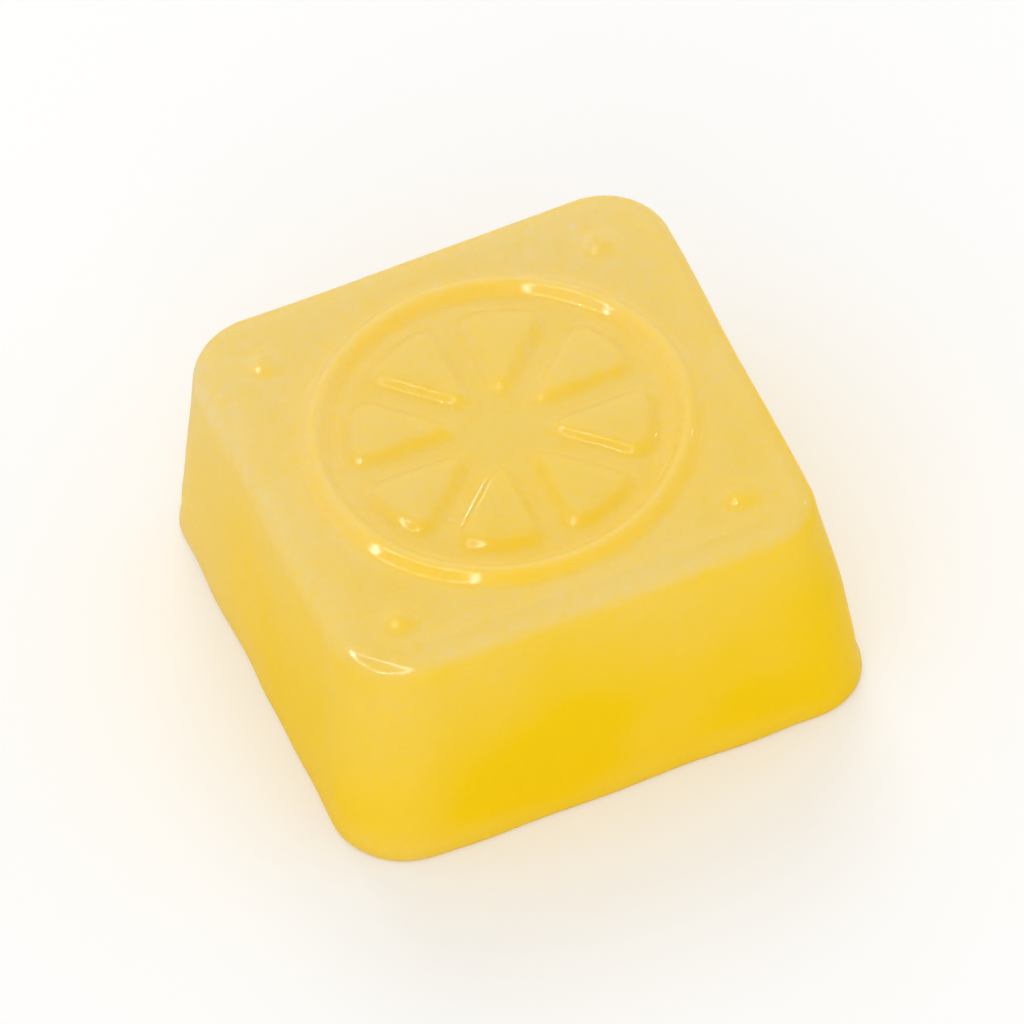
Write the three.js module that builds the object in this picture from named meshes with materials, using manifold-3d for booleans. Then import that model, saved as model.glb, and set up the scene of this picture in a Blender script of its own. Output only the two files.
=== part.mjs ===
// A gummy candy: one soft block of fruit gel, cast face down in a tapered mould. The wide face
// is the poured one and is drawn as the base; the moulded face on top is a little smaller, has
// a rounded rim and carries a raised citrus wheel. Millimetres, +Z up, front towards -Y, origin
// at the middle of the base.
import * as THREE from "three";
import { mergeVertices } from "three/addons/utils/BufferGeometryUtils.js";
import Module from "manifold-3d";

const wasm = await Module();
wasm.setup();

// ---- Driving dimensions ----
const BASE_SIDE = 20.0; // across the poured base, lip included
const FACE_SIDE = 18.2; // across the moulded face, before its rim is rounded
const BLOCK_HEIGHT = 9.05; // base to moulded face
// Corner radii in the order front left, front right, back right, back left. Each corner set a
// little differently as the gel dried.
const BASE_CORNERS = [2.9, 2.7, 2.8, 2.6];
const FACE_CORNERS = [3.1, 2.4, 2.7, 2.9];
const RIM_RADIUS = 0.7; // rounding of the moulded face's rim
const LIP_FLARE = 0.08; // how far the poured edge creeps out over the mould
const LIP_HEIGHT = 0.7;

const WHEEL_RADIUS = 6.6; // to the middle of the wheel's rind
const RIND_WIDTH = 0.8;
const RIND_HEIGHT = 0.42;
const RIND_SHOULDER = THREE.MathUtils.degToRad(25); // where its upright flank turns into the crown
const SEGMENT_COUNT = 8;
const SEGMENT_INNER = 1.4; // from the wheel's middle to a segment's tip
const SEGMENT_OUTER = 5.55;
const SEGMENT_GAP = 0.66; // width of the membrane between two segments
const SEGMENT_CORNER = 0.5;
const SEGMENT_HEIGHT = 0.36;
const SEGMENT_BEVEL = 0.16;
const WHEEL_TURN = THREE.MathUtils.degToRad(22.5); // puts a membrane on each axis
const BEAD_RADIUS = 0.62;
const BEAD_HEIGHT = 0.34;
const BEAD_FROM_MIDDLE = 6.4; // along X and along Y
const ROOT_DEPTH = 0.5; // how far the relief is rooted in the block

// ---- Fineness ----
const CORNER_STEPS = 8;
const SIDE_STEPS = 4;
const RIM_STEPS = 5;
const LIP_STEPS = 3;
const WHEEL_STEPS = 64;
const RIND_STEPS = 5;
const SEGMENT_ARC_STEPS = 6;
const SEGMENT_BEVEL_STEPS = 2;
const BEAD_STEPS = 14;
const BEAD_RINGS = 7; // odd, so that no ring of points lies in the plane of the face
const MERGE_DISTANCE = 1e-5;

const gelFinish = new THREE.MeshStandardMaterial({
  name: "fruit_gel",
  color: "#f2cb5c",
  roughness: 0.34,
  metalness: 0,
});

// ---- From geometry to solid and back ----
function solidOf(geometry) {
  const bare = geometry.index ? geometry.toNonIndexed() : geometry.clone();
  bare.deleteAttribute("normal");
  bare.deleteAttribute("uv");
  const merged = mergeVertices(bare, MERGE_DISTANCE);
  return new wasm.Manifold(
    new wasm.Mesh({
      numProp: 3,
      vertProperties: new Float32Array(merged.attributes.position.array),
      triVerts: new Uint32Array(merged.index.array),
    }),
  );
}

function geometryOf(solid) {
  const mesh = solid.getMesh();
  const geometry = new THREE.BufferGeometry();
  geometry.setAttribute("position", new THREE.BufferAttribute(mesh.vertProperties, mesh.numProp));
  geometry.setIndex(new THREE.BufferAttribute(mesh.triVerts, 1));
  geometry.computeVertexNormals();
  return geometry;
}

// ---- The block ----
// A quarter turn about one corner's middle, from startAngle on.
function cornerArc(middle, radius, startAngle) {
  return Array.from({ length: CORNER_STEPS + 1 }, (_, step) => {
    const angle = startAngle + (Math.PI / 2) * (step / CORNER_STEPS);
    return new THREE.Vector3(
      middle.x + radius * Math.cos(angle),
      middle.y + radius * Math.sin(angle),
      middle.z,
    );
  });
}

// One level of the block: a square of the given side, pulled in by inset, with its own radius
// at each corner. It runs anticlockwise from the front left corner.
function levelOutline(side, cornerRadii, inset, z) {
  const half = side / 2 - inset;
  const quadrants = [
    [-1, -1, Math.PI],
    [1, -1, 1.5 * Math.PI],
    [1, 1, 0],
    [-1, 1, 0.5 * Math.PI],
  ];
  const arcs = quadrants.map(([signX, signY, startAngle], corner) => {
    const radius = cornerRadii[corner] - inset;
    const middle = new THREE.Vector3(signX * (half - radius), signY * (half - radius), z);
    return cornerArc(middle, radius, startAngle);
  });
  return arcs.flatMap((arc, corner) => {
    const sideStart = arc[arc.length - 1];
    const sideEnd = arcs[(corner + 1) % arcs.length][0];
    const sidePoints = Array.from({ length: SIDE_STEPS - 1 }, (_, step) =>
      sideStart.clone().lerp(sideEnd, (step + 1) / SIDE_STEPS),
    );
    return [...arc, ...sidePoints];
  });
}

// The wall's levels from the base up: the lip, the drafted wall, then the rounded rim.
function blockLevels() {
  const lip = Array.from({ length: LIP_STEPS + 1 }, (_, step) => {
    const rise = step / LIP_STEPS;
    return { z: LIP_HEIGHT * rise, inset: LIP_FLARE * (1 - (1 - rise) ** 2) };
  });
  const rim = Array.from({ length: RIM_STEPS + 1 }, (_, step) => {
    const angle = (Math.PI / 2) * (step / RIM_STEPS);
    return {
      z: BLOCK_HEIGHT - RIM_RADIUS * (1 - Math.sin(angle)),
      inset: LIP_FLARE + RIM_RADIUS * (1 - Math.cos(angle)),
    };
  });
  return [...lip, ...rim];
}

// The lip widens the base only, so the draft runs to a face that is wider by the same amount
// before the inset takes it off again.
function blockGeometry() {
  const outlines = blockLevels().map(({ z, inset }) => {
    const rise = z / BLOCK_HEIGHT;
    const side = THREE.MathUtils.lerp(BASE_SIDE, FACE_SIDE + 2 * LIP_FLARE, rise);
    const radii = BASE_CORNERS.map((radius, corner) =>
      THREE.MathUtils.lerp(radius, FACE_CORNERS[corner] + LIP_FLARE, rise),
    );
    return levelOutline(side, radii, inset, z);
  });
  const around = outlines[0].length;
  const points = outlines.flat();
  const triangles = [];
  for (let level = 0; level < outlines.length - 1; level += 1) {
    for (let step = 0; step < around; step += 1) {
      const here = level * around + step;
      const next = level * around + ((step + 1) % around);
      triangles.push(here, next, next + around, here, next + around, here + around);
    }
  }
  const baseMiddle = points.push(new THREE.Vector3(0, 0, 0)) - 1;
  const faceMiddle = points.push(new THREE.Vector3(0, 0, BLOCK_HEIGHT)) - 1;
  const faceStart = (outlines.length - 1) * around;
  for (let step = 0; step < around; step += 1) {
    const next = (step + 1) % around;
    triangles.push(baseMiddle, next, step);
    triangles.push(faceMiddle, faceStart + step, faceStart + next);
  }
  const geometry = new THREE.BufferGeometry().setFromPoints(points);
  geometry.setIndex(triangles);
  return geometry;
}

// ---- The raised citrus wheel ----
// The rind: a ring with upright flanks and a round crown, turned as one closed profile.
function rindGeometry() {
  const halfWidth = RIND_WIDTH / 2;
  const crown = Array.from({ length: RIND_STEPS + 1 }, (_, step) => {
    const angle = THREE.MathUtils.lerp(RIND_SHOULDER, Math.PI - RIND_SHOULDER, step / RIND_STEPS);
    const across = Math.cos(angle) / Math.cos(RIND_SHOULDER);
    return new THREE.Vector2(
      WHEEL_RADIUS + across * halfWidth,
      BLOCK_HEIGHT + RIND_HEIGHT * Math.sin(angle),
    );
  });
  const profile = [
    new THREE.Vector2(WHEEL_RADIUS + halfWidth, BLOCK_HEIGHT - ROOT_DEPTH),
    ...crown,
    new THREE.Vector2(WHEEL_RADIUS - halfWidth, BLOCK_HEIGHT - ROOT_DEPTH),
  ];
  profile.push(profile[0].clone());
  // A lathe turns about Y, and the block stands along Z.
  return new THREE.LatheGeometry(profile, WHEEL_STEPS).rotateX(Math.PI / 2);
}

// One segment's outline: a wedge between two membranes, lying along +X, with rounded corners.
// The bevel widens the pad again, so the outline is drawn that much smaller.
function segmentShape() {
  const tip = SEGMENT_INNER + SEGMENT_BEVEL;
  const outer = SEGMENT_OUTER - SEGMENT_BEVEL;
  const shoulder = outer - SEGMENT_CORNER;
  const halfGap = SEGMENT_GAP / 2 + SEGMENT_BEVEL;
  const flankAngle = (radius) => Math.PI / SEGMENT_COUNT - Math.asin(halfGap / radius);
  const pointAt = (radius, angle) => [radius * Math.cos(angle), radius * Math.sin(angle)];
  const arcAngle = flankAngle(outer) - SEGMENT_CORNER / outer;
  const lowTip = pointAt(tip, -flankAngle(tip));
  const lowShoulder = pointAt(shoulder, -flankAngle(shoulder));
  const lowSharp = pointAt(outer, -flankAngle(outer));
  const highSharp = pointAt(outer, flankAngle(outer));
  const highShoulder = pointAt(shoulder, flankAngle(shoulder));
  const highTip = pointAt(tip, flankAngle(tip));
  const shape = new THREE.Shape();
  shape.moveTo(...lowTip);
  shape.lineTo(...lowShoulder);
  shape.quadraticCurveTo(...lowSharp, ...pointAt(outer, -arcAngle));
  shape.absarc(0, 0, outer, -arcAngle, arcAngle, false);
  shape.quadraticCurveTo(...highSharp, ...highShoulder);
  shape.lineTo(...highTip);
  shape.quadraticCurveTo(SEGMENT_INNER, 0, ...lowTip);
  return shape;
}

function segmentGeometry(turn) {
  const geometry = new THREE.ExtrudeGeometry(segmentShape(), {
    depth: ROOT_DEPTH + SEGMENT_HEIGHT - 2 * SEGMENT_BEVEL,
    curveSegments: SEGMENT_ARC_STEPS,
    bevelThickness: SEGMENT_BEVEL,
    bevelSize: SEGMENT_BEVEL,
    bevelSegments: SEGMENT_BEVEL_STEPS,
  });
  geometry.translate(0, 0, BLOCK_HEIGHT - ROOT_DEPTH + SEGMENT_BEVEL);
  return geometry.rotateZ(turn);
}

// A low round bead in each corner of the face; its lower half is its root.
function beadGeometry(signX, signY) {
  const geometry = new THREE.SphereGeometry(BEAD_RADIUS, BEAD_STEPS, BEAD_RINGS);
  geometry.rotateX(Math.PI / 2);
  geometry.scale(1, 1, BEAD_HEIGHT / BEAD_RADIUS);
  return geometry.translate(signX * BEAD_FROM_MIDDLE, signY * BEAD_FROM_MIDDLE, BLOCK_HEIGHT);
}

function reliefGeometries() {
  const segments = Array.from({ length: SEGMENT_COUNT }, (_, index) =>
    segmentGeometry(WHEEL_TURN + (2 * Math.PI * index) / SEGMENT_COUNT),
  );
  const beads = [-1, 1].flatMap((signX) => [-1, 1].map((signY) => beadGeometry(signX, signY)));
  return [rindGeometry(), ...segments, ...beads];
}

// ---- The candy: block and relief are one piece of gel ----
const candy = reliefGeometries().reduce(
  (solid, relief) => solid.add(solidOf(relief)),
  solidOf(blockGeometry()),
);

const group = new THREE.Group();
const gummy = new THREE.Mesh(geometryOf(candy), gelFinish);
gummy.name = "gummy";
group.add(gummy);

export default group;
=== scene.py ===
# %% [markdown]
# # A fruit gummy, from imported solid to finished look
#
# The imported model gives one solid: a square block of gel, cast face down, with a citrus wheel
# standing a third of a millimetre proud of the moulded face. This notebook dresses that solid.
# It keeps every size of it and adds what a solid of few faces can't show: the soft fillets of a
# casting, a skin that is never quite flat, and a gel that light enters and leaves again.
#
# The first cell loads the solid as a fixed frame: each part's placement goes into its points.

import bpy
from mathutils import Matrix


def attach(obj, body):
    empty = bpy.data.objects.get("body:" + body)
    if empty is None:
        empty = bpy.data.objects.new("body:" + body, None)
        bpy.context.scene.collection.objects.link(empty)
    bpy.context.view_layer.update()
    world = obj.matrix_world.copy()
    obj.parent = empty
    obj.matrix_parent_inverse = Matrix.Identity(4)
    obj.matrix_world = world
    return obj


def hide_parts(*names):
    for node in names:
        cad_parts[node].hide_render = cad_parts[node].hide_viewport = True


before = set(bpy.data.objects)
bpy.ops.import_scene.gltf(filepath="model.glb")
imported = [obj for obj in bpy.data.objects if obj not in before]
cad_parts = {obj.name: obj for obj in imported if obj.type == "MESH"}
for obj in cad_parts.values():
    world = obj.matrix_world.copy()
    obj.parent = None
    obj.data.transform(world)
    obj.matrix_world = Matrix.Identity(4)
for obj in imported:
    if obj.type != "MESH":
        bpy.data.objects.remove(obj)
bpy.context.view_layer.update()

# %% [markdown]
# ## Tools used all through
#
# Blender works in metres and a candy is read in millimetres, so one name does the change. Hex
# colours are what a colour picker shows, and shaders want linear light, so one function turns
# the first into the second. A third adds any shader node with its settings and its links.

# %% Millimetres, colours and nodes
import math

import bmesh
import bpy
from mathutils import Matrix, Vector, noise

MM = 0.001


def linear(hex_colour):
    """An sRGB colour such as "f2cb5c" as linear red, green, blue and alpha."""
    shares = [int(hex_colour[place : place + 2], 16) / 255 for place in (0, 2, 4)]
    return [s / 12.92 if s <= 0.04045 else ((s + 0.055) / 1.055) ** 2.4 for s in shares] + [1.0]


def add_node(tree, kind, links=None, **settings):
    """A node of that kind. Settings are its properties, links a value or an output per input."""
    node = tree.nodes.new(kind)
    for name, value in settings.items():
        setattr(node, name, value)
    for socket, value in (links or {}).items():
        if isinstance(value, bpy.types.NodeSocket):
            tree.links.new(value, node.inputs[socket])
        else:
            node.inputs[socket].default_value = value
    return node


def soft_step(low, high, value):
    """0 below low, 1 above high, and an S-shaped ramp between them."""
    share = min(max((value - low) / (high - low), 0.0), 1.0)
    return share * share * (3 - 2 * share)


print("yellow gel as linear light:", [round(share, 3) for share in linear("f2cb5c")])

# %% [markdown]
# ## The camera
#
# The candy is seen from a little left of its front, from halfway up, and the picture is turned
# a few degrees. A camera is easiest to place by those angles: they give the line of sight, and
# the line of sight gives the camera's right and up. It stands far off with a long lens, so the
# block's sides stay almost parallel, as they are when a small thing is photographed from afar.

# %% Camera from three angles
CAMERA_AZIMUTH = math.radians(17.4)
CAMERA_ELEVATION = math.radians(50.1)
CAMERA_ROLL = math.radians(6.3)
CAMERA_DISTANCE = 552 * MM
SENSOR_WIDTH = 36
VIEW_WIDTH = 36.0 * MM
VIEW_CENTRE = Vector((0.1, 0.1, 4.3)) * MM

sight = Vector(
    (
        math.sin(CAMERA_AZIMUTH) * math.cos(CAMERA_ELEVATION),
        math.cos(CAMERA_AZIMUTH) * math.cos(CAMERA_ELEVATION),
        -math.sin(CAMERA_ELEVATION),
    )
)
level_right = Vector((math.cos(CAMERA_AZIMUTH), -math.sin(CAMERA_AZIMUTH), 0))
level_up = level_right.cross(sight)
camera_right = level_right * math.cos(CAMERA_ROLL) - level_up * math.sin(CAMERA_ROLL)
camera_up = level_right * math.sin(CAMERA_ROLL) + level_up * math.cos(CAMERA_ROLL)

camera = bpy.data.objects.new("camera", bpy.data.cameras.new("camera"))
bpy.context.scene.collection.objects.link(camera)
camera.matrix_world = (
    Matrix.Translation(VIEW_CENTRE - sight * CAMERA_DISTANCE)
    @ Matrix((camera_right, camera_up, -sight)).transposed().to_4x4()
)
camera.data.sensor_width = SENSOR_WIDTH
camera.data.lens = SENSOR_WIDTH * CAMERA_DISTANCE / VIEW_WIDTH
bpy.context.scene.camera = camera
print("lens:", round(camera.data.lens), "mm")

# %% [markdown]
# ## Floor and light
#
# The candy was photographed on white, so brightly lit that the ground is nearly lost in it. A
# plain white plane and a white sky do that. The main lamp is a softbox behind the candy. A
# broad, weak fill low in front keeps the walls as bright as the face. The paper glows a little,
# so that it stays white between the lamps and still darkens where the candy touches it.

# %% White floor and sky
FLOOR_SIDE = 4.0
PAPER_GLOW = 0.06
SKY_STRENGTH = 0.86

floor_mesh = bpy.data.meshes.new("floor")
floor_plane = bmesh.new()
bmesh.ops.create_grid(floor_plane, x_segments=1, y_segments=1, size=FLOOR_SIDE / 2)
floor_plane.to_mesh(floor_mesh)
floor_plane.free()
floor = bpy.data.objects.new("floor", floor_mesh)
bpy.context.scene.collection.objects.link(floor)

# White seamless paper, matt: it scatters nearly all the light that reaches it.
paper = bpy.data.materials.new("white_seamless_paper")
paper.use_nodes = True
paper_shader = paper.node_tree.nodes["Principled BSDF"]
paper_shader.inputs["Base Color"].default_value = linear("f7f7f7")
paper_shader.inputs["Roughness"].default_value = 0.9
paper_shader.inputs["Specular IOR Level"].default_value = 0.0
paper_shader.inputs["Emission Color"].default_value = (1, 1, 1, 1)
paper_shader.inputs["Emission Strength"].default_value = PAPER_GLOW
floor.data.materials.append(paper)

sky = bpy.data.worlds.new("white_sky")
sky.use_nodes = True
sky.node_tree.nodes["Background"].inputs["Color"].default_value = (1, 1, 1, 1)
sky.node_tree.nodes["Background"].inputs["Strength"].default_value = SKY_STRENGTH
bpy.context.scene.world = sky
bpy.context.scene.view_settings.view_transform = "Standard"
print("floor side:", FLOOR_SIDE, "m, sky strength:", SKY_STRENGTH)

# %% [markdown]
# ## Lamps by where they stand
#
# A lamp is easiest to place as a photographer would say it: so far round the candy, so high and
# so far away. How bright it looks is its radiance. Blender asks for its power instead, which is
# the radiance times its area times pi, so one function works that out for a round lamp and for
# a straight tube. The softbox stands behind, to the left of the middle, and the fill in front.

# %% Softbox and front fill


def add_lamp(name, size, azimuth, elevation, distance, radiance, length=None):
    """An area lamp that looks at the candy, round, or a tube where it is given a length.

    Azimuth 0 stands in front of the candy and 90 at +X.
    """
    lamp_data = bpy.data.lights.new(name, "AREA")
    lamp_data.size = size
    if length is None:
        lamp_data.shape = "DISK"
        area = math.pi * (size / 2) ** 2
    else:
        lamp_data.shape = "RECTANGLE"
        lamp_data.size_y = length
        area = size * length
    lamp_data.energy = radiance * math.pi * area
    lamp = bpy.data.objects.new(name, lamp_data)
    bpy.context.scene.collection.objects.link(lamp)
    turn, lift = math.radians(azimuth), math.radians(elevation)
    towards_lamp = Vector(
        (
            math.sin(turn) * math.cos(lift),
            -math.cos(turn) * math.cos(lift),
            math.sin(lift),
        )
    )
    lamp.location = VIEW_CENTRE + towards_lamp * distance
    lamp.rotation_euler = towards_lamp.to_track_quat("Z", "Y").to_euler()
    return lamp


softbox = add_lamp("softbox", 0.35, azimuth=166, elevation=42, distance=0.6, radiance=1.95)
fill = add_lamp("front_fill", 0.6, azimuth=-32, elevation=12, distance=0.6, radiance=0.9)
print("watts in softbox and fill:", round(softbox.data.energy, 2), round(fill.data.energy, 2))

# %% [markdown]
# ## Catchlights
#
# Gel carries a few crisp catchlights, and the shape of a catchlight is the shape of a lamp.
# Small pale rings on the gel tell of a ring light, which is a bent tube, so a loop sets out
# short straight tubes in a circle. They and two single lamps only have to be seen in the gloss,
# so they are taken out of the diffuse light, and the soft shading stays as it was.

# %% Ring light and two glints
GLINT_PLACES = {"glint_right": (105, 25), "glint_back": (-170, 14)}
GLINT_SIZE = 0.02
GLINT_RADIANCE = 200.0
CATCHLIGHT_DISTANCE = 0.5
RING_AZIMUTH = -66
RING_ELEVATION = 35
RING_TUBES = 12
RING_RADIUS = 0.2
TUBE_WIDTH = 0.035
TUBE_LENGTH = 2 * RING_RADIUS * math.tan(math.pi / RING_TUBES)
TUBE_RADIANCE = 65.0

catchlights = [
    add_lamp(name, GLINT_SIZE, azimuth, elevation, CATCHLIGHT_DISTANCE, GLINT_RADIANCE)
    for name, (azimuth, elevation) in GLINT_PLACES.items()
]
for step in range(RING_TUBES):
    tube = add_lamp(
        f"ring_tube_{step}",
        TUBE_WIDTH,
        RING_AZIMUTH,
        RING_ELEVATION,
        CATCHLIGHT_DISTANCE,
        TUBE_RADIANCE,
        length=TUBE_LENGTH,
    )
    step_turn = Matrix.Rotation(2 * math.pi * step / RING_TUBES, 3, "Z")
    turned = tube.rotation_euler.to_matrix() @ step_turn
    tube.location += turned @ Vector((RING_RADIUS, 0, 0))
    tube.rotation_euler = turned.to_euler()
    catchlights.append(tube)
for lamp in catchlights:
    lamp.visible_diffuse = False
print("lamps:", len(bpy.data.lights), "of which for catchlights:", len(catchlights))

# %% [markdown]
# ## The block's outline, plate by plate
#
# A cast block is a loft: a wide outline where the gel was poured, a smaller one at the bottom
# of the mould, and straight walls between. So it starts as flat square plates, one for each
# level that matters. A vertex bevel rounds each corner by its own radius, because no two
# corners of a soft candy dry alike. Every plate gets the same number of points, so that the
# walls between them are clean strips of four-sided faces.

# %% Square plates with rounded corners
BASE_SIDE = 20.0
FACE_SIDE = 18.2
BLOCK_HEIGHT = 9.05
BASE_CORNERS = [2.9, 2.7, 2.8, 2.6]
FACE_CORNERS = [3.1, 2.4, 2.7, 2.9]
LIP_FLARE = 0.08
LIP_HEIGHT = 0.7
CORNER_SIGNS = [(-1, -1), (1, -1), (1, 1), (-1, 1)]
CORNER_SEGMENTS = 32
SIDE_SEGMENTS = 148


def mix(low, high, share):
    return low + (high - low) * share


def plate_sizes(height, inset):
    """The side and the corner radii of the block at a height, pulled in by inset."""
    rise = height / BLOCK_HEIGHT
    side = mix(BASE_SIDE, FACE_SIDE + 2 * LIP_FLARE, rise) - 2 * inset
    radii = [
        mix(base, face + LIP_FLARE, rise) - inset
        for base, face in zip(BASE_CORNERS, FACE_CORNERS)
    ]
    return side, radii


def face_at(height):
    """The block's one face whose middle is at that height."""
    return min(block.faces, key=lambda face: abs(face.calc_center_median().z - height))


def add_plate(height, inset):
    """One flat plate, each corner rounded and each side cut into equal steps."""
    side, radii = plate_sizes(height, inset)
    lifted = Matrix.Translation((0, 0, height))
    bmesh.ops.create_grid(block, x_segments=1, y_segments=1, size=side / 2, matrix=lifted)
    for (sign_x, sign_y), radius in zip(CORNER_SIGNS, radii):
        corner = max(
            face_at(height).verts, key=lambda vert: vert.co.x * sign_x + vert.co.y * sign_y
        )
        bmesh.ops.bevel(
            block,
            geom=[corner],
            offset=radius,
            offset_type="OFFSET",
            segments=CORNER_SEGMENTS,
            profile=0.5,
            affect="VERTICES",
            material=-1,
        )
    straight = sorted(face_at(height).edges, key=lambda edge: edge.calc_length())[-4:]
    bmesh.ops.subdivide_edges(block, edges=straight, cuts=SIDE_SEGMENTS - 1)


block = bmesh.new()
levels = [(0.0, 0.0), (LIP_HEIGHT, LIP_FLARE), (BLOCK_HEIGHT, LIP_FLARE)]
for height, inset in levels:
    add_plate(height, inset)
plates = [face_at(height) for height, inset in levels]
print("points round each plate:", [len(plate.edges) for plate in plates])

# %% [markdown]
# ## Walls, rim and lip
#
# Bridging two loops of edges builds the wall between them. The middle plate has then done its
# work, so its face goes. The rim of the moulded face is where the gel filled the edge of the
# mould, and the poured edge is a little sharper: both are edge bevels, made while the wall is
# still one tall strip, because a bevel can't be wider than the faces beside it. Only then is
# the wall cut into levels, which the skin's waves need later.

# %% Bridge, bevel, cut
RIM_OFFSET = 0.68
RIM_SEGMENTS = 8
LIP_OFFSET = 0.22
LIP_SEGMENTS = 4
WALL_CUTS = 30

for lower, upper in zip(plates, plates[1:]):
    bmesh.ops.bridge_loops(block, edges=list(lower.edges) + list(upper.edges))
bmesh.ops.delete(block, geom=[plates[1]], context="FACES_ONLY")
bmesh.ops.recalc_face_normals(block, faces=block.faces)


def round_edge(height, offset, segments):
    """An edge bevel all round the plate at that height."""
    bmesh.ops.bevel(
        block,
        geom=list(face_at(height).edges),
        offset=offset,
        offset_type="OFFSET",
        segments=segments,
        profile=0.5,
        affect="EDGES",
        material=-1,
    )


round_edge(BLOCK_HEIGHT, RIM_OFFSET, RIM_SEGMENTS)
round_edge(0.0, LIP_OFFSET, LIP_SEGMENTS)


def climbing_edges(low, high):
    """Edges that climb the wall by between low and high millimetres."""
    return [e for e in block.edges if low < abs(e.verts[0].co.z - e.verts[1].co.z) < high]


wall_edges = climbing_edges(BLOCK_HEIGHT / 2, BLOCK_HEIGHT)
bmesh.ops.subdivide_edges(block, edges=wall_edges, cuts=WALL_CUTS, use_grid_fill=True)
print("faces with the wall cut into levels:", len(block.faces))

# %% [markdown]
# ## A fine field for the relief
#
# The moulded face has to carry a relief with fillets of a quarter of a millimetre, so it needs
# points closer than that. Its one big face is swapped for a fine grid. The grid has as many
# points round its edge as the rim has, so bridging the two gives four-sided faces again. The
# poured side is hidden when the candy lies down, and three insets are enough for it: gel sinks
# a little in its middle as it dries, and each inset's depth follows that.

# %% Face grid and poured side
FIELD_HALF = 7.3
FIELD_STEPS = CORNER_SEGMENTS + SIDE_SEGMENTS
SHOULDER_CUTS = 6
SINK_RINGS = [(0.5, 0.02), (0.9, 0.04), (1.2, 0.04)]

bmesh.ops.delete(block, geom=[face_at(BLOCK_HEIGHT)], context="FACES_ONLY")
bmesh.ops.create_grid(
    block,
    x_segments=FIELD_STEPS,
    y_segments=FIELD_STEPS,
    size=FIELD_HALF,
    matrix=Matrix.Translation((0, 0, BLOCK_HEIGHT)),
)
rim_and_field = [edge for edge in block.edges if edge.is_boundary]
spokes = bmesh.ops.bridge_loops(block, edges=rim_and_field)["edges"]
bmesh.ops.subdivide_edges(block, edges=spokes, cuts=SHOULDER_CUTS, use_grid_fill=True)

bmesh.ops.recalc_face_normals(block, faces=block.faces)
poured = face_at(0.0)
for width, depth in SINK_RINGS:
    bmesh.ops.inset_region(block, faces=[poured], thickness=width, depth=-depth)
open_edges = sum(edge.is_boundary for edge in block.edges)
print("points in the block:", len(block.verts), "open edges:", open_edges)

# %% [markdown]
# ## The citrus wheel, pressed from below
#
# On the real candy the relief is the floor of the mould in reverse, so nothing on it has a
# sharp edge: gel doesn't fill a corner tighter than a quarter of a millimetre. Separate solids
# stuck on the face would meet it in hard lines. Here a height is worked out for every point of
# the fine field instead, from how far the point lies inside the rind, a segment or a bead, and
# the point is lifted by that. In the profile of the rind and of a bead, a power sets how flat
# the top is and how far the foot spreads. A few smoothing passes that move points only up or
# down then round each foot into a fillet.

# %% Rind, segments and beads
WHEEL_RADIUS = 6.6
RIND_WIDTH = 0.8
RIND_HEIGHT = 0.41
RIND_FOOT = 0.08
RIND_FLATNESS = 3
RIND_SPREAD = 1.4
SEGMENT_COUNT = 8
SEGMENT_INNER = 1.4
SEGMENT_OUTER = 5.55
SEGMENT_GAP = 0.66
SEGMENT_CORNER = 0.8
SEGMENT_HEIGHT = 0.36
SEGMENT_EDGE_SHARE = 0.84
CROWN_RAMP = (0.2, 1.2)
BEAD_RADIUS = 0.62
BEAD_HEIGHT = 0.34
BEAD_SPREAD = 0.8
BEAD_FROM_MIDDLE = 6.4
FLANK_WIDTH = 0.32
FOOT_PASSES = 6


def rounded_least(first, second, width):
    """The smaller of two distances, blended where they are within width of each other."""
    overlap = max(width - abs(first - second), 0.0) / width
    return min(first, second) - overlap * overlap * width / 4


def depth_in_segment(x, y):
    """How far inside its segment a point lies; below 0 in a membrane."""
    sector = 2 * math.pi / SEGMENT_COUNT
    radius = math.hypot(x, y)
    turn = math.atan2(y, x) % sector - sector / 2
    from_membrane = radius * math.sin(sector / 2 - abs(turn)) - SEGMENT_GAP / 2
    from_ends = rounded_least(SEGMENT_OUTER - radius, radius - SEGMENT_INNER, SEGMENT_CORNER)
    return rounded_least(from_membrane, from_ends, SEGMENT_CORNER)


def relief_height(x, y):
    """How far the relief stands above the face at a point, in millimetres."""
    across_rind = abs(math.hypot(x, y) - WHEEL_RADIUS) / (RIND_WIDTH / 2 + RIND_FOOT)
    rind = RIND_HEIGHT * max(1 - across_rind**RIND_FLATNESS, 0.0) ** RIND_SPREAD
    inside = depth_in_segment(x, y)
    crown = mix(SEGMENT_EDGE_SHARE, 1.0, soft_step(*CROWN_RAMP, inside))
    segment = SEGMENT_HEIGHT * crown * soft_step(0.0, FLANK_WIDTH, inside)
    from_bead = math.hypot(abs(x) - BEAD_FROM_MIDDLE, abs(y) - BEAD_FROM_MIDDLE)
    bead = BEAD_HEIGHT * max(1 - (from_bead / BEAD_RADIUS) ** 2, 0.0) ** BEAD_SPREAD
    return max(rind, segment, bead)


NEAR = 0.01
field = [
    vert
    for vert in block.verts
    if vert.co.z > BLOCK_HEIGHT - NEAR and max(map(abs, vert.co.xy)) < FIELD_HALF + NEAR
]
for point in field:
    point.co.z += relief_height(point.co.x, point.co.y)
for _ in range(FOOT_PASSES):
    bmesh.ops.smooth_vert(block, verts=field, factor=0.5, use_axis_z=True)
print("highest point of the relief:", round(max(point.co.z for point in field), 3), "mm")

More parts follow.
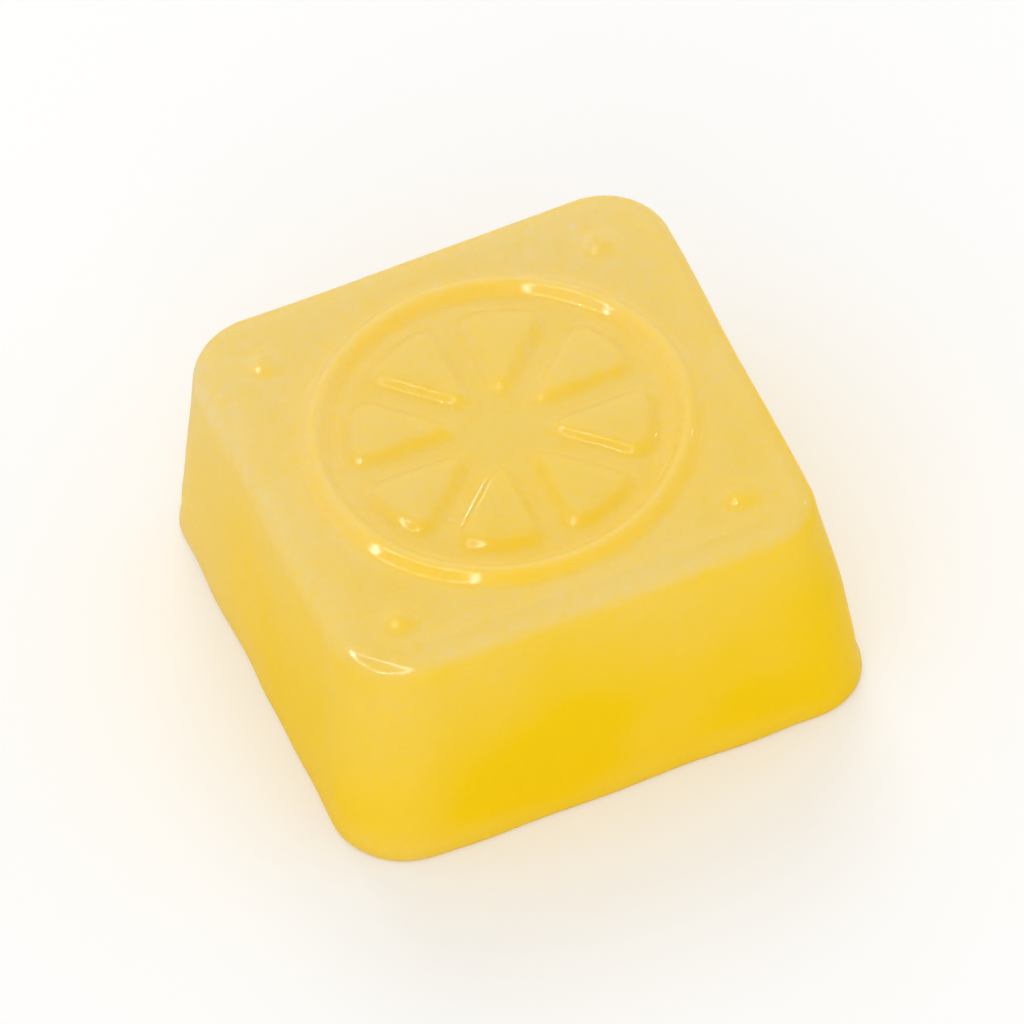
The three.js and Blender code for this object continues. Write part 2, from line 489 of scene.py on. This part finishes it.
# %% [markdown]
# ## A skin that is never flat
#
# Gel comes soft out of its mould and dries for a day, so its faces swell and sink by a tenth of
# a millimetre over several millimetres, and its rim and its foot wander. Straight edges are
# what makes a computer's candy look like a tile. These movements use Blender's own smooth
# noise, which gives the same value at the same place on every run, and they all go inwards, so
# that the candy keeps the size of its solid. The poured side stays flat to lie on.
#
# Two helpers come first: one tells how deep inside the outline a point lies and which way is
# out, the other reads the noise as a share from 0 to 1.

# %% Depth inside the outline and waves


def depth_in_outline(x, y, height):
    """Distance in from the wall at that height, and the wall's outward direction there."""
    side, radii = plate_sizes(height, LIP_FLARE)
    radius = sum(radii) / len(radii)
    core = side / 2 - radius
    past = Vector((max(abs(x) - core, 0.0), max(abs(y) - core, 0.0), 0.0))
    if past.length == 0:
        past = Vector((1.0, 0.0, 0.0)) if abs(x) > abs(y) else Vector((0.0, 1.0, 0.0))
        depth = side / 2 - max(abs(x), abs(y))
    else:
        depth = radius - past.length
    outward = Vector((math.copysign(past.x, x), math.copysign(past.y, y), 0.0)).normalized()
    return depth, outward


def wave(place, length, seed):
    """Smooth noise from 0 to 1 with swells about length apart."""
    return 0.5 + 0.5 * noise.noise(place / length + Vector((seed, 0.0, 0.0)))


for height in (0.0, BLOCK_HEIGHT):
    middle_depth = depth_in_outline(0, 0, height)[0]
    print("the middle at height", height, "mm lies", round(middle_depth, 2), "mm deep")

# %% [markdown]
# ## Swells, rim, foot and border
#
# Each point moves by the sum of four things: the swell of the skin, the wander of the rim, the
# finer wander of the foot, and the low border ridge that the mould left just inside the rim,
# highest at the front left. The first three have a wave each. Each of the four comes in between
# two places, in millimetres, and that pair is called its ramp. The moves are worked out for all
# points first and made afterwards, so that no point is measured half moved.

# %% Moving the skin
SWELL_LENGTH, SWELL_DEPTH, SWELL_SEED = 5.5, 0.13, 3.7
RIM_WAVE_LENGTH, RIM_WAVE_DEPTH, RIM_WAVE_SEED = 6.5, 0.3, 21.3
FOOT_WAVE_LENGTH, FOOT_WAVE_DEPTH, FOOT_WAVE_SEED = 2.7, 0.2, 8.6
SWELL_RAMP = (0.3, 2.5)
RIM_WAVE_RAMP = (3.5, BLOCK_HEIGHT - 0.6)
FOOT_WAVE_RAMP = (0.3, 2.2)
DEPTH_RAMP = (0.4, 2.4)
FRONT_LEFT_RAMP = (-6.0, 5.0)
BORDER_FROM_SIDE = 1.25
BORDER_HALF_WIDTH = 0.6
BORDER_HEIGHT = 0.07
BORDER_RAMP = (BLOCK_HEIGHT - 0.3, BLOCK_HEIGHT)


def towards_front_left(x, y):
    """1 at the front left of the face, fading to 0 at its middle right."""
    return 1 - soft_step(*FRONT_LEFT_RAMP, x + y)


block.normal_update()
moves = {}
for point in block.verts:
    place = point.co.copy()
    level = place * Vector((1, 1, 0))
    depth, outward = depth_in_outline(place.x, place.y, place.z)
    near_side = 1 - soft_step(*DEPTH_RAMP, depth)
    near_rim = soft_step(*RIM_WAVE_RAMP, place.z) * near_side
    near_foot = (1 - soft_step(*FOOT_WAVE_RAMP, place.z)) * near_side
    above_base = soft_step(*SWELL_RAMP, place.z)
    swell = point.normal * SWELL_DEPTH * wave(place, SWELL_LENGTH, SWELL_SEED)
    rim_wander = outward * RIM_WAVE_DEPTH * wave(level, RIM_WAVE_LENGTH, RIM_WAVE_SEED)
    foot_wander = outward * FOOT_WAVE_DEPTH * wave(level, FOOT_WAVE_LENGTH, FOOT_WAVE_SEED)
    on_border = 1 - soft_step(0.0, BORDER_HALF_WIDTH, abs(depth - BORDER_FROM_SIDE))
    on_border *= soft_step(*BORDER_RAMP, place.z)
    on_border *= towards_front_left(place.x, place.y)
    border = Vector((0, 0, BORDER_HEIGHT)) * on_border
    moves[point] = border - swell * above_base - rim_wander * near_rim - foot_wander * near_foot
for point, move in moves.items():
    point.co += move
print("deepest move of the skin:", round(max(move.length for move in moves.values()), 3), "mm")

# %% [markdown]
# ## One worn corner
#
# The front left corner was pushed in while the gel was soft. Smoothing the points near it does
# the same: each pass pulls a point towards its neighbours, which flattens what stands out. The
# ball of points grows a little with every pass, so that no edge of it shows.

# %% Wearing the corner down
WORN_CORNER = Vector((-8.25, -8.25, BLOCK_HEIGHT - 0.2))
CORNER_REACHES = [1.0 + 0.02 * step for step in range(60)]

for reach in CORNER_REACHES:
    near_corner = [point for point in block.verts if (point.co - WORN_CORNER).length < reach]
    bmesh.ops.smooth_vert(
        block, verts=near_corner, factor=0.5, use_axis_x=True, use_axis_y=True, use_axis_z=True
    )
print("points in the widest ball:", len(near_corner))

# %% [markdown]
# ## Where light and shade are painted on the gel
#
# Light enters a gummy from all sides and comes out again a few millimetres on. Here that light
# and shade are painted into the colour: the wide face, which takes in the most light, is painted
# palest, and the walls are painted deeper on the way down from it. The side walls are painted
# paler towards the back, where the main lamp stands, and most corners, lit from two sides at once,
# are painted pale too. In the relief a flank turned away from that lamp is painted as a deeper
# line of shade, and a flank turned to it is painted paler.
#
# A shader alone shows only part of this, because it doesn't follow light right through the
# block. An attribute on the mesh paints it in and keeps it in an exported model: one number per
# point, added up from named shares, each with a ramp that says where it comes in.

# %% Painted light and shade of each point
LIT_FACE_PALE = 0.32
FACE_REACH, LEFT_FACE_REACH = 0.5, 1.0
LEFT_RAMP = (0.2, 0.7)
BACK_PALE, BACK_RAMP = 0.14, (-6.0, 7.0)
BORDER_PALE, BORDER_PALE_RAMP = 0.14, (0.5, 1.7)
FAR_BORDER_SHARE = 0.3
WHEEL_PALE, WHEEL_RAMP = -0.06, (5.9, 6.4)
FLANK_AWAY_PALE, FLANK_LIT_PALE, FLANK_RAMP = 0.36, 0.14, (1.5, 1.9)
TOWARDS_LIGHT = Vector((0.3, 0.95, 0.0))
WALL_TOP_PALE, WALL_TOP_RAMP = 0.17, (3.8, 8.7)
SIDE_WALL_PALE, SIDE_WALL_RAMP = 0.36, (-4.0, 9.0)
SIDE_RAMP = (0.2, 0.9)
FOOT_PALE, FOOT_RAMP = 0.14, (0.0, 1.7)
CORNER_PALES, CORNER_RAMP = [0.12, -0.12, 0.02, 0.10], (0.5, 4.5)

block.normal_update()
painted_light_and_shade = []
for point in block.verts:
    x, y, z = point.co
    side = plate_sizes(z, LIP_FLARE)[0]
    to_side, to_corner = sorted((side / 2 - abs(x), side / 2 - abs(y)))
    face_reach = mix(FACE_REACH, LEFT_FACE_REACH, soft_step(*LEFT_RAMP, -point.normal.x))
    on_face = soft_step(BLOCK_HEIGHT - face_reach, BLOCK_HEIGHT - 0.05, z)
    in_wheel = 1 - soft_step(*WHEEL_RAMP, math.hypot(x, y))
    on_wall = 1 - abs(point.normal.z)
    on_side_wall = soft_step(*SIDE_RAMP, abs(point.normal.x))
    near_border = 1 - soft_step(*BORDER_PALE_RAMP, to_side)
    near_border *= mix(FAR_BORDER_SHARE, 1.0, towards_front_left(x, y))
    # Painted light and shade on the relief: a flank turned to the main lamp is painted paler, one
    # turned away is painted as a deeper line of shade.
    facing_light = point.normal.dot(TOWARDS_LIGHT) * soft_step(*FLANK_RAMP, to_side)
    flank_pale = FLANK_LIT_PALE if facing_light > 0 else FLANK_AWAY_PALE
    corner_pale = CORNER_PALES[CORNER_SIGNS.index((math.copysign(1, x), math.copysign(1, y)))]
    # Nearly every share paints light or shade into the colour: the face painted pale where light
    # falls and paler towards the back, a painted highlight along the border at the front left,
    # flanks painted lit or shaded, walls painted paler near the top and towards the lamp at the
    # back, a paler painted foot, and corners painted lit or, at the front right, shaded. Only the
    # wheel share just makes the face a little deeper inside the wheel.
    shares = [
        on_face * (LIT_FACE_PALE + BACK_PALE * soft_step(*BACK_RAMP, y)),
        on_face * (BORDER_PALE * near_border + WHEEL_PALE * in_wheel),
        on_face * flank_pale * facing_light,
        WALL_TOP_PALE * soft_step(*WALL_TOP_RAMP, z),
        SIDE_WALL_PALE * on_side_wall * soft_step(*SIDE_WALL_RAMP, y),
        FOOT_PALE * (1 - soft_step(*FOOT_RAMP, z)),
        corner_pale * on_wall * (1 - soft_step(*CORNER_RAMP, to_corner)),
    ]
    painted_light_and_shade.append(sum(shares))
print("palest point:", round(max(painted_light_and_shade), 2), "deepest:", round(min(painted_light_and_shade), 2))

# %% [markdown]
# ## From working mesh to object
#
# The block was modelled in millimetres. One scale brings it to metres, all faces are shaded
# smooth, and the finished mesh goes to an object that sits at the origin, so that its place is
# in its points alone.

# %% The gel block
bmesh.ops.scale(block, verts=block.verts, vec=(MM, MM, MM))
for face in block.faces:
    face.smooth = True
gel_mesh = bpy.data.meshes.new("gel_block")
block.to_mesh(gel_mesh)
block.free()
# The attribute carries the painted light and shade of each point into the mesh.
painted_light_attribute = gel_mesh.attributes.new("painted_light_and_shade", "FLOAT", "POINT")
painted_light_attribute.data.foreach_set("value", painted_light_and_shade)
gel_block = bpy.data.objects.new("gel_block", gel_mesh)
bpy.context.scene.collection.objects.link(gel_block)
print("triangles:", sum(len(face.vertices) - 2 for face in gel_mesh.polygons))

# %% [markdown]
# ## The gel
#
# A fruit gummy is sugar and pectin or gelatine with a yellow colour, cooked to a gel and cast.
# It is cloudy rather than clear: red and green light wander through it for a millimetre or
# more, blue is swallowed far sooner.
#
# The colour runs from a deep gold to a pale cream by the painted light and shade of the
# attribute, palest on the face, with faint clouds where the gel set unevenly, a fine grain, and
# small bubbles under the skin. The bubbles come from a cell pattern: its distance to the nearest
# cell centre is a ball of a known radius. Grain and bubbles scale with the painted light and
# shade, so they show on the face and hardly on the deep walls.

# %% Colour of the pectin gel
DEEP_GOLD = "f2c700"
LIT_PALE_CREAM = "ead08c"
CLOUD_SIZE = 6.5 * MM
GRAIN_SIZE = 0.42 * MM
BUBBLE_SPACING = 1.9 * MM
BUBBLE_RADIUS = 0.2 * MM

# Fruit gel of sugar and pectin, cast and dried: cloudy, satin and lit from within.
gel = bpy.data.materials.new("pectin_fruit_gel")
gel.use_nodes = True
tree = gel.node_tree
tree.nodes.clear()
place = add_node(tree, "ShaderNodeTexCoord").outputs["Object"]
# pale starts as the painted light and shade read from the mesh.
pale = add_node(tree, "ShaderNodeAttribute", attribute_name="painted_light_and_shade").outputs["Fac"]
cloud = add_node(
    tree,
    "ShaderNodeTexNoise",
    {"Vector": place, "Scale": 1 / CLOUD_SIZE, "Detail": 2.0, "Roughness": 0.45},
).outputs["Fac"]
cloud_share = add_node(
    tree,
    "ShaderNodeMapRange",
    {"Value": cloud, "From Min": 0.35, "From Max": 0.65, "To Min": -0.06, "To Max": 0.08},
).outputs["Result"]
grain = add_node(
    tree,
    "ShaderNodeTexNoise",
    {"Vector": place, "Scale": 1 / GRAIN_SIZE, "Detail": 2.0, "Roughness": 0.6},
).outputs["Fac"]
grain_share = add_node(
    tree,
    "ShaderNodeMapRange",
    {"Value": grain, "From Min": 0.3, "From Max": 0.7, "To Min": -0.2, "To Max": 0.2},
).outputs["Result"]
pale = add_node(tree, "ShaderNodeMath", {0: pale, 1: cloud_share}, operation="ADD").outputs["Value"]
to_bubble = add_node(
    tree, "ShaderNodeTexVoronoi", {"Vector": place, "Scale": 1 / BUBBLE_SPACING}
).outputs["Distance"]
bubble = add_node(
    tree,
    "ShaderNodeMapRange",
    {
        "Value": to_bubble,
        "From Min": BUBBLE_RADIUS / BUBBLE_SPACING,
        "From Max": 0.4 * BUBBLE_RADIUS / BUBBLE_SPACING,
        "To Max": 0.5,
    },
    interpolation_type="SMOOTHSTEP",
).outputs["Result"]
marks = add_node(
    tree, "ShaderNodeMath", {0: grain_share, 1: bubble}, operation="ADD"
).outputs["Value"]
pale = add_node(
    tree, "ShaderNodeMath", {0: marks, 1: pale, 2: pale}, operation="MULTIPLY_ADD", use_clamp=True
).outputs["Value"]
# The mix paints light and shade: the painted light and shade of the attribute, with clouds, grain
# and bubbles, turns deep gold towards the lit pale cream.
gel_colour = add_node(
    tree,
    "ShaderNodeMix",
    {"Factor": pale, 6: linear(DEEP_GOLD), 7: linear(LIT_PALE_CREAM)},
    data_type="RGBA",
).outputs[2]
print("nodes for the colour:", len(tree.nodes))

# %% [markdown]
# ## Skin and depth of the gel
#
# The same grain and bubbles also stand up from the skin by a few hundredths of a millimetre,
# which a bump can draw, because they are far too low to change the outline.
#
# Subsurface scattering lets each colour of light come out some way from where it went in, and
# red gets the longest reach and blue the shortest. Of the two kinds on offer the random walk
# follows every path through the gel, and it turns thin ridges green, because more green than
# red comes through them. The diffusion profile used here spreads the light along the skin,
# holds the hue and is quicker. A gummy of this kind is satin, so its clear coat is weak, and
# only the low roughness of that coat makes the catchlights crisp.

# %% Bumps and shader
SCATTER_REACH = 2.2 * MM
SCATTER_SHARES = (0.6, 0.5, 0.1)
BUMP_DISTANCE = 0.06 * MM

grain_bump = add_node(
    tree, "ShaderNodeBump", {"Height": grain, "Strength": 0.7, "Distance": BUMP_DISTANCE}
).outputs["Normal"]
skin_bump = add_node(
    tree,
    "ShaderNodeBump",
    {"Height": bubble, "Strength": 0.4, "Distance": BUMP_DISTANCE, "Normal": grain_bump},
).outputs["Normal"]
skin = add_node(
    tree,
    "ShaderNodeBsdfPrincipled",
    {
        "Base Color": gel_colour,
        "Roughness": 0.45,
        "IOR": 1.45,
        "Normal": skin_bump,
        "Subsurface Weight": 1.0,
        "Subsurface Radius": SCATTER_SHARES,
        "Subsurface Scale": SCATTER_REACH,
        "Specular IOR Level": 0.03,
        "Coat Weight": 0.15,
        "Coat Roughness": 0.08,
        "Coat IOR": 1.45,
    },
    subsurface_method="BURLEY",
)
add_node(tree, "ShaderNodeOutputMaterial", {"Surface": skin.outputs["BSDF"]})
gel_mesh.materials.append(gel)
print("nodes in the gel in all:", len(tree.nodes))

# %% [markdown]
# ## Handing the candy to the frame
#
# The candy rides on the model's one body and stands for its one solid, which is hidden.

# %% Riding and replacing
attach(gel_block, "root")
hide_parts("gummy")
